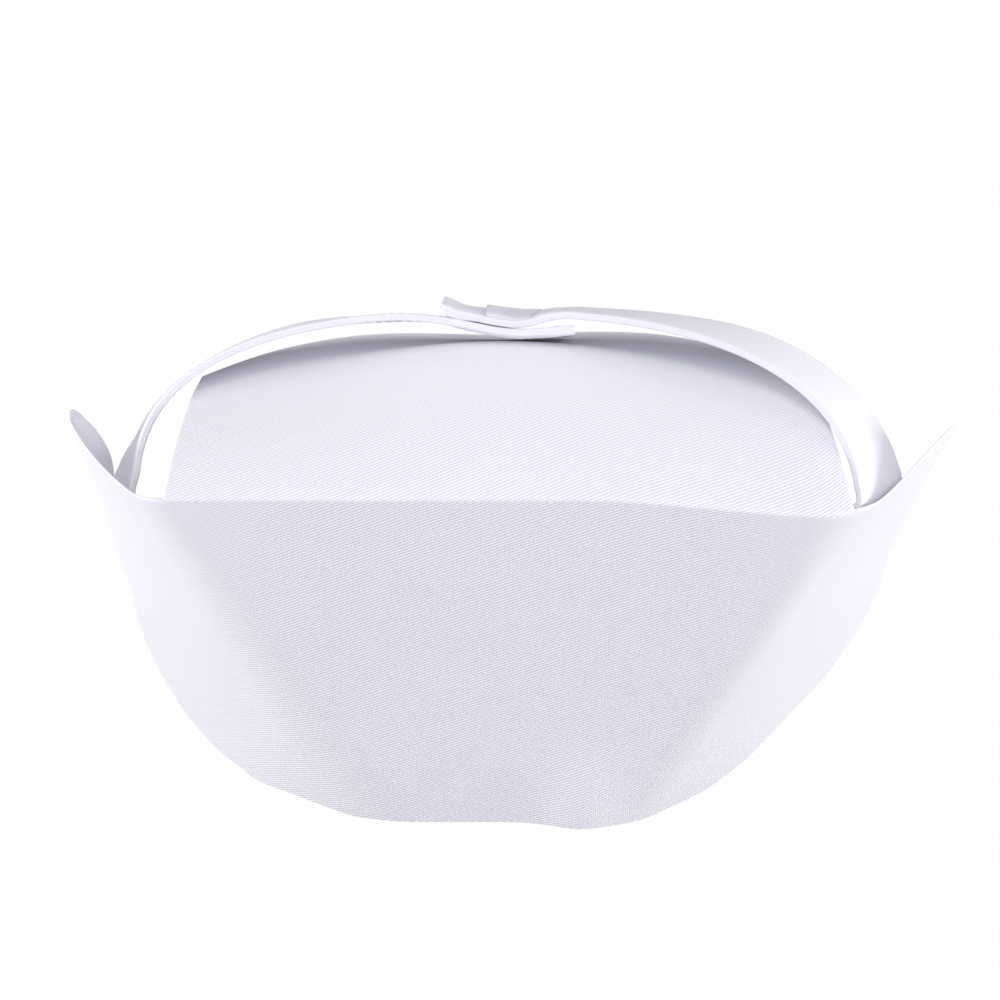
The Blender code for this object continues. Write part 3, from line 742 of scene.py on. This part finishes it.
def cloth_material(name, group, light, groove_shade_colour, roughness, ends, picks, depth, relief_shade_fade):
    """A cloth whose colour and relief come from its weave: the weave paints its light and shade into the
    colour, between the lit colour and the shaded groove colour, and drives the bump.
    """
    material = bpy.data.materials.new(name)
    material.use_nodes = True
    tree = material.node_tree
    shader = tree.nodes["Principled BSDF"]
    shader.inputs["Roughness"].default_value = roughness
    shader.inputs["Specular IOR Level"].default_value = CLOTH_SPECULAR
    shader.inputs["Sheen Weight"].default_value = CLOTH_SHEEN
    shader.inputs["Sheen Roughness"].default_value = SHEEN_ROUGHNESS
    place = tree.nodes.new("ShaderNodeUVMap")
    place.uv_map = "cloth"
    weave = tree.nodes.new("ShaderNodeGroup")
    weave.node_tree = group
    weave.inputs["Ends"].default_value = ends
    weave.inputs["Picks"].default_value = picks
    for label, value in zip(("Fade Way", "Fade From", "Fade To", "Relief And Shade Left"), relief_shade_fade):
        weave.inputs[label].default_value = value
    tree.links.new(place.outputs[0], weave.inputs["Place"])
    # The weave's Shade mixes painted shade in the hollows with painted light on the yarn tops.
    mix = tree.nodes.new("ShaderNodeMix")
    mix.data_type = "RGBA"
    mix.inputs["A"].default_value = (*groove_shade_colour, 1.0)
    mix.inputs["B"].default_value = (*light, 1.0)
    tree.links.new(weave.outputs["Shade"], mix.inputs["Factor"])
    tree.links.new(mix.outputs["Result"], shader.inputs["Base Color"])
    bump = tree.nodes.new("ShaderNodeBump")
    bump.inputs["Strength"].default_value = 1.0
    bump.inputs["Distance"].default_value = depth
    tree.links.new(weave.outputs["Height"], bump.inputs["Height"])
    tree.links.new(bump.outputs[0], shader.inputs["Normal"])
    return material


# Pieces

def panel_stops(share):
    """Places across the panel at this share of its height, closer together at the bends and edges."""
    halves = {}
    for right in (False, True):
        half = float(panel_half(right, share))
        bend = float(bend_half(right, share))
        line = float(bend_line(right, share))
        past_crest = RIGHT_CROWN_HALF - RIGHT_CREST_HALF if right else LEFT_CROWN_HALF - LEFT_CREST_HALF
        crown_end = line + past_crest
        end = min(line + bend, 0.5 * (crown_end + half))
        stops = (0.0, line - bend, crown_end, end, half)
        spans = zip(stops[:-1], stops[1:], STOP_COUNTS)
        parts = [np.linspace(low, high, count, endpoint=False) for low, high, count in spans]
        halves[right] = np.concatenate((*parts, (half,)))
    return np.concatenate((-halves[False][:0:-1], halves[True]))


def front_panel(twill):
    """The front with both wings: doubled cloth with turned edges, its crest going on into the crown."""
    upper = np.linspace(0.0, FOOT_ROWS_FROM, PANEL_ROWS, endpoint=False)
    foot = FOOT_ROWS_FROM + (1 - FOOT_ROWS_FROM) * np.sin(np.linspace(0.0, 0.5 * pi, FOOT_ROWS))
    shares = np.concatenate((upper, foot))
    stops = np.stack([panel_stops(share) for share in STOP_SHARES])
    top = stops[0]
    halves = np.where(top >= 0, panel_half(True, 0.0), panel_half(False, 0.0))
    in_tip = np.clip((np.abs(top) - (halves - WING_TIP_ROUND)) / WING_TIP_ROUND, 0.0, 1.0)
    crown_half = np.where(top >= 0, RIGHT_CROWN_HALF, LEFT_CROWN_HALF)
    past_crown = np.abs(top) - crown_half
    seam = past_crown < 1e-9
    to_edge = smooth_step(past_crown, 0.0, WING_EDGE_RISE)
    first_drop = CREST_SEAM_DROP + (WING_EDGE_DROP - CREST_SEAM_DROP) * to_edge
    first_drop = first_drop + WING_TIP_ROUND * (1 - np.sqrt(1 - in_tip**2))
    drop = first_drop[None, :] + (PANEL_HEIGHT - first_drop[None, :]) * shares[:, None]
    on_wing = smooth_step(past_crown, 0.0, 2 * WING_EDGE_RISE)
    height_share = shares[:, None] + (drop / PANEL_HEIGHT - shares[:, None]) * on_wing[None, :]
    columns = [np.interp(heights, STOP_SHARES, places) for heights, places in zip(height_share.T, stops.T)]
    across = np.stack(columns, 1)
    face = panel_place(across, drop)
    ripple = cloth_ripple(across, drop) * smooth_step(drop, 0.0, RIPPLE_FADE)
    normals = -grid_normals(face)
    outer = face + normals * ripple[..., None]
    to_rim = on_wing[None, :] * (1 - smooth_step(drop - first_drop[None, :], 0.0, WING_RIM_REACH))
    stack = PANEL_STACK + (WING_RIM - PANEL_STACK) * to_rim
    inner = outer - normals * stack[..., None]
    shared = seam_normals(top[seam])
    butt = [((0, int(column)), normal) for column, normal in zip(np.flatnonzero(seam), shared)]
    flat = np.stack((across, -drop), -1)
    piece = cloth_shell("front_panel", outer, inner, flat, twill, butt, TURNED_EDGE)
    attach(piece, "front")
    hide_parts("front_face", "front_interlining", "front_lining")


def seam_normals(across):
    """Outward normals along the crest seam, where the panel stands upright."""
    step = 1e-4
    along = panel_place(across + step, CREST_SEAM_DROP) - panel_place(across - step, CREST_SEAM_DROP)
    return unit(np.cross(along, np.array((0.0, 0.0, 1.0))))


def crown_panel(twill):
    """The crown from the crest seam back over the head, rounding over at the crest."""
    columns = np.concatenate((
        np.linspace(-1.0, -CROWN_SIDE_FROM, CROWN_SIDE_COLUMNS, endpoint=False),
        np.linspace(-CROWN_SIDE_FROM, CROWN_SIDE_FROM, CROWN_COLUMNS, endpoint=False),
        np.linspace(CROWN_SIDE_FROM, 1.0, CROWN_SIDE_COLUMNS + 1),
    ))
    crest_rows = np.linspace(0.0, CREST_ROWS_TO, CREST_ROWS, endpoint=False)
    shares = np.concatenate((crest_rows, np.linspace(CREST_ROWS_TO, 1.0, CROWN_ROWS)))
    side, share = np.meshgrid(columns, shares)
    face, run = crown_place(side, share)
    normals = grid_normals(face)
    half = np.where(side >= 0, RIGHT_CROWN_HALF, LEFT_CROWN_HALF)
    normals[0] = seam_normals((side * half)[0])
    ripple = cloth_ripple(side * half, run + CROWN_RIPPLE_SHIFT)
    ripple = ripple * smooth_step(run, CROWN_RIPPLE_FROM, RIPPLE_FADE)
    outer = face + normals * ripple[..., None]
    inner = outer - normals * PANEL_STACK
    butt = [((0, column), normals[0, column]) for column in range(len(columns))]
    flat = np.stack((side * half, run), -1)
    piece = cloth_shell("crown_panel", outer, inner, flat, twill, butt, TURNED_EDGE)
    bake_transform(piece)
    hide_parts("crown_face", "crown_interlining", "crown_lining")


def strap(name, right, end, nodes, twill):
    """One half of the back strap, doubled cloth sewn inside its wing."""
    root_columns = np.linspace(-TAIL_LENGTH, ROOT_REACH, ROOT_COLUMNS, endpoint=False)
    columns = np.concatenate((root_columns, np.linspace(ROOT_REACH, end, STRAP_COLUMNS)))
    run, share = np.meshgrid(columns, np.linspace(0.0, 1.0, STRAP_ROWS))
    to_tip = smooth_step(run, end - TIP_SKEW_REACH, end)
    run = run + to_tip * share * (OVER_TIP_SKEW if right else UNDER_TIP_SKEW)
    middle = strap_place(right, run, share)
    normals = grid_normals(middle) * (-1.0 if right else 1.0)
    shift = 0.0 if right else UNDER_RIPPLE_SHIFT
    ripple = cloth_ripple(run + shift, share * STRAP_WIDTH) * STRAP_RIPPLE
    middle = middle + normals * ripple[..., None]
    in_hem = smooth_step(columns, end - HEM_LENGTH, end - HEM_EASE * HEM_LENGTH)
    stack = np.broadcast_to(STRAP_STACK + HEM_EXTRA * in_hem, run.shape)
    outer = middle + normals * 0.5 * stack[..., None]
    inner = middle - normals * 0.5 * stack[..., None]
    flat = np.stack((run, share * STRAP_WIDTH), -1)
    piece = cloth_shell(name, outer, inner, flat, twill)
    bend_at_root(piece, right)
    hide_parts(*nodes)


def bend_at_root(piece, right):
    """Bakes the piece's place into its mesh. The way the strap leaves its root and its width there are worked
    out but not used, so the strap does not turn about its root.
    """
    first, halfway, last = ROOT_BEND
    start, end = (strap_place(right, np.array(run), np.array(0.5)) for run in (first, last))
    near, far = (strap_place(right, np.array(halfway), np.array(share)) for share in (0.1, 0.9))
    wide = unit(far - near)
    way = end - start
    way = way - wide * (way @ wide)
    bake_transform(piece)


def strap_row(right, runs, acrosses, lift):
    """Points and normals of a row of stitches on the strap."""
    runs, acrosses = np.broadcast_arrays(np.asarray(runs, float), np.asarray(acrosses, float))
    step, side_step = 3e-4, 0.02
    middle = strap_place(right, runs, acrosses)
    along = strap_place(right, runs + step, acrosses) - strap_place(right, runs - step, acrosses)
    wide = strap_place(right, runs, acrosses + side_step) - strap_place(right, runs, acrosses - side_step)
    normals = unit(np.cross(wide, along)) * (1.0 if right else -1.0)
    return middle + normals * lift, normals * (1.0 if lift > 0 else -1.0)


def strap_stitches(name, right, end, node, thread):
    """Top stitching along both edges and across the tip, on both faces."""
    inset = STITCH_INSET / STRAP_WIDTH
    runs = np.linspace(STITCH_FROM, end - STITCH_INSET, STITCH_ROW_POINTS)
    skew = OVER_TIP_SKEW if right else UNDER_TIP_SKEW
    shift = smooth_step(runs, end - TIP_SKEW_REACH, end) * skew
    rows = []
    for lift in (0.5 * STRAP_STACK, -0.5 * STRAP_STACK):
        for share in (inset, 1 - inset):
            rows.append(strap_row(right, runs + shift * share, share, lift))
        across = np.linspace(inset, 1 - inset, STITCH_TIP_POINTS)
        rows.append(strap_row(right, end - 2 * STITCH_INSET + skew * across, across, lift))
    piece = stitches(name, rows, thread)
    bend_at_root(piece, right)
    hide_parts(node)


def box_rows(right, box, lift, taper, skew):
    """A rectangle of stitches on the strap, or on a tape on it that thins towards the start."""
    start, end, low, high = box
    runs, shares = (np.linspace(*span, STITCH_BOX_POINTS) for span in ((start, end), (low, high)))
    bare = 0.5 * STRAP_STACK * (1.0 if lift > 0 else -1.0)
    rows = []
    for run, share in ((runs, low), (end, shares), (runs[::-1], high), (start, shares[::-1])):
        length = (np.broadcast_to(run, runs.shape) - start) / (end - start)
        points, normals = strap_row(right, run + skew * share * length, share, lift)
        thinned = (lift - bare) * taper * (1 - length)
        rows.append((points - normals * thinned[:, None], normals))
    return rows


def box_stitches(name, right, box, lift, body, node, thread, taper=0.0, skew=0.0):
    piece = stitches(name, box_rows(right, box, lift, taper, skew), thread)
    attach(piece, body)
    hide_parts(node)


def sewn_tape(name, right, box, on_outside, thickness, body, node, cloth, taper=0.0, skew=0.0):
    """A tape sewn on a strap half. A taper thins it towards the root, and a skew slants its other end."""
    start, end, low, high = box
    lift = 0.5 * STRAP_STACK * (1.0 if on_outside else -1.0)
    length, share = np.meshgrid(np.linspace(0.0, 1.0, TAPE_COLUMNS), np.linspace(low, high, TAPE_ROWS))
    run = start + (end - start + skew * share) * length
    inner, normals = strap_row(right, run, share, lift)
    outer = inner + normals * thickness * (1 - taper * (1 - length))[..., None]
    flat = np.stack((run, share * STRAP_WIDTH), -1)
    piece = cloth_shell(name, outer, inner, flat, cloth)
    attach(piece, body)
    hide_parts(node)


def strap_box(start, end, margin):
    return start, end, margin / STRAP_WIDTH, 1 - margin / STRAP_WIDTH


def inset_box(box, by):
    start, end, low, high = box
    return start + by, end - by, low + by / STRAP_WIDTH, high - by / STRAP_WIDTH


def back_strap(twill, tape, thread):
    """Both halves, the tapes that close them and their sewing."""
    over_end, under_end = run_at_x(True, OVER_TIP_X), run_at_x(False, UNDER_TIP_X)
    strap("over_strap", True, over_end, ("right_strap_outer", "right_strap_inner"), twill)
    strap("under_strap", False, under_end, ("left_strap_outer", "left_strap_inner"), twill)
    strap_stitches("over_strap_stitches", True, over_end, "right_strap_thread", thread)
    strap_stitches("under_strap_stitches", False, under_end, "left_strap_thread", thread)
    seam = 0.5 * STRAP_STACK
    root_box = strap_box(-TAIL_LENGTH + ROOT_SEAM_INSET, ROOT_SEAM_END, ROOT_SEAM_INSET)
    box_stitches("right_root_stitches", True, root_box, -seam, "front", "right_root_thread", thread)
    box_stitches("left_root_stitches", False, root_box, -seam, "front", "left_root_thread", thread)
    hook_end, loop_end = run_at_x(True, HOOK_TAPE_X), run_at_x(False, LOOP_TAPE_X)
    hook_box = strap_box(hook_end - TAPE_LENGTH, hook_end, TAPE_MARGIN)
    loop_box = strap_box(loop_end - TAPE_LENGTH, loop_end, TAPE_MARGIN)
    patch_box = strap_box(run_at_x(True, PATCH_FROM_X), run_at_x(True, PATCH_TO_X), PATCH_MARGIN)
    patch_form, loop_form = (PATCH_TAPER, OVER_TIP_SKEW), (0.0, UNDER_TIP_SKEW)
    sewn_tape("sewn_hook_tape", True, hook_box, False, TAPE_THICKNESS, "right_strap", "hook_tape", tape)
    sewn_tape(
        "sewn_tip_patch", True, patch_box, True, PATCH_THICKNESS, "right_strap", "tip_patch", tape, *patch_form
    )
    sewn_tape(
        "sewn_loop_tape", False, loop_box, True, TAPE_THICKNESS, "left_strap", "loop_tape", tape, *loop_form
    )
    hook_seam = inset_box(hook_box, -HOOK_SEAM_OUT)
    patch_seam, loop_seam = inset_box(patch_box, STITCH_INSET), inset_box(loop_box, STITCH_INSET)
    on_patch = seam + PATCH_THICKNESS
    box_stitches("hook_tape_stitches", True, hook_seam, seam, "right_strap", "hook_tape_thread", thread)
    box_stitches(
        "tip_patch_stitches", True, patch_seam, on_patch, "right_strap", "tip_patch_thread", thread, *patch_form
    )
    box_stitches(
        "loop_tape_stitches", False, loop_seam, -seam, "left_strap", "loop_tape_thread", thread, *loop_form
    )


# Stage

def white_floor():
    """A white floor that keeps the cap's soft shadow."""
    mesh = bpy.data.meshes.new("floor")
    corners = [(x * FLOOR_HALF, y * FLOOR_HALF, 0) for x, y in ((-1, -1), (1, -1), (1, 1), (-1, 1))]
    mesh.from_pydata(corners, [], [(0, 1, 2, 3)])
    floor = bpy.data.objects.new("floor", mesh)
    floor.location.z = FLOOR_Z
    bpy.context.scene.collection.objects.link(floor)
    material = bpy.data.materials.new("white_floor")
    material.use_nodes = True
    tree = material.node_tree
    tree.nodes.clear()
    out = tree.nodes.new("ShaderNodeOutputMaterial")
    lit = tree.nodes.new("ShaderNodeBsdfDiffuse")
    lit.inputs["Color"].default_value = (FLOOR_GREY, FLOOR_GREY, FLOOR_GREY, 1.0)
    glow = tree.nodes.new("ShaderNodeEmission")
    glow.inputs["Color"].default_value = (1.0, 1.0, 1.0, 1.0)
    glow.inputs["Strength"].default_value = 1.0
    path = tree.nodes.new("ShaderNodeLightPath")
    seen = tree.nodes.new("ShaderNodeMath")
    seen.operation = "MULTIPLY"
    seen.inputs[1].default_value = FLOOR_WHITE
    mix = tree.nodes.new("ShaderNodeMixShader")
    tree.links.new(path.outputs["Is Camera Ray"], seen.inputs[0])
    tree.links.new(seen.outputs[0], mix.inputs[0])
    tree.links.new(lit.outputs[0], mix.inputs[1])
    tree.links.new(glow.outputs[0], mix.inputs[2])
    tree.links.new(mix.outputs[0], out.inputs[0])
    mesh.materials.append(material)


def soft_world():
    """A dome that lights the cap, brighter in front of it. The camera sees it as plain white."""
    world = bpy.data.worlds.new("studio")
    world.use_nodes = True
    tree = world.node_tree
    tree.nodes.clear()
    out = tree.nodes.new("ShaderNodeOutputWorld")
    fill = tree.nodes.new("ShaderNodeBackground")
    fill.inputs["Color"].default_value = (*DOME_COLOUR, 1.0)
    way = tree.nodes.new("ShaderNodeTexCoord")
    split = tree.nodes.new("ShaderNodeSeparateXYZ")
    tree.links.new(way.outputs["Generated"], split.inputs[0])
    level = link_math(tree, "MULTIPLY_ADD", split.outputs[1], DOME_FALL, DOME_LEVEL)
    tree.links.new(level, fill.inputs["Strength"])
    white = tree.nodes.new("ShaderNodeBackground")
    white.inputs["Strength"].default_value = 1.0
    path = tree.nodes.new("ShaderNodeLightPath")
    mix = tree.nodes.new("ShaderNodeMixShader")
    tree.links.new(path.outputs["Is Camera Ray"], mix.inputs[0])
    tree.links.new(fill.outputs[0], mix.inputs[1])
    tree.links.new(white.outputs[0], mix.inputs[2])
    tree.links.new(mix.outputs[0], out.inputs[0])
    bpy.context.scene.world = world


def soft_lamp(name, place, size, power, colour):
    light = bpy.data.lights.new(name, "AREA")
    light.shape = "DISK"
    light.size = size
    light.energy = power
    light.color = colour
    lamp = bpy.data.objects.new(name, light)
    lamp.location = place
    aim = LAMP_AIM - Vector(place)
    lamp.rotation_euler = aim.to_track_quat("-Z", "Y").to_euler()
    bpy.context.scene.collection.objects.link(lamp)


def photo_camera():
    data = bpy.data.cameras.new("camera")
    data.lens = CAMERA_LENS
    data.sensor_width = SENSOR_WIDTH
    data.clip_start, data.clip_end = CLIP_NEAR, CLIP_FAR
    camera = bpy.data.objects.new("camera", data)
    elevation = radians(CAMERA_ELEVATION)
    back = Vector((0.0, -cos(elevation), sin(elevation)))
    camera.location = CAMERA_AIM + back * CAMERA_DISTANCE
    camera.rotation_euler = (-back).to_track_quat("-Z", "Y").to_euler()
    bpy.context.scene.collection.objects.link(camera)
    bpy.context.scene.camera = camera


def build():
    weave = twill_weave_group()
    yarns = (TWILL_ROUGHNESS, WEAVE_ENDS, WEAVE_PICKS, TWILL_RELIEF)
    # Front, crown and strap take copies of one twill that differ only in how strongly the weave's light and
    # shade are painted and where that fades.
    twill = cloth_material("white_twill_drill", weave, FRONT_WEAVE_LIT, FRONT_WEAVE_SHADED, *yarns, PANEL_RELIEF_SHADE_FADE)
    crown_twill = cloth_material("white_crown_twill", weave, TWILL_WEAVE_LIT, TWILL_WEAVE_SHADED, *yarns, CROWN_RELIEF_SHADE_FADE)
    strap_twill = cloth_material("white_strap_twill", weave, TWILL_WEAVE_LIT, TWILL_WEAVE_SHADED, *yarns, STRAP_RELIEF_SHADE_FADE)
    yarns = (THREAD_ROUGHNESS, THREAD_TWIST, THREAD_TWIST, THREAD_RELIEF)
    thread = cloth_material("white_sewing_thread", weave, THREAD_TWIST_LIT, THREAD_TWIST_SHADED, *yarns, STRAP_RELIEF_SHADE_FADE)
    yarns = (TAPE_ROUGHNESS, TAPE_ENDS, TAPE_PICKS, TAPE_RELIEF)
    tape = cloth_material("white_woven_tape", weave, TAPE_WEAVE_LIT, TAPE_WEAVE_SHADED, *yarns, STRAP_RELIEF_SHADE_FADE)
    front_panel(twill)
    crown_panel(crown_twill)
    back_strap(strap_twill, tape, thread)
    white_floor()
    soft_world()
    for lamp in LAMPS:
        soft_lamp(*lamp)
    photo_camera()
    bpy.context.scene.view_settings.view_transform = "Standard"


build()
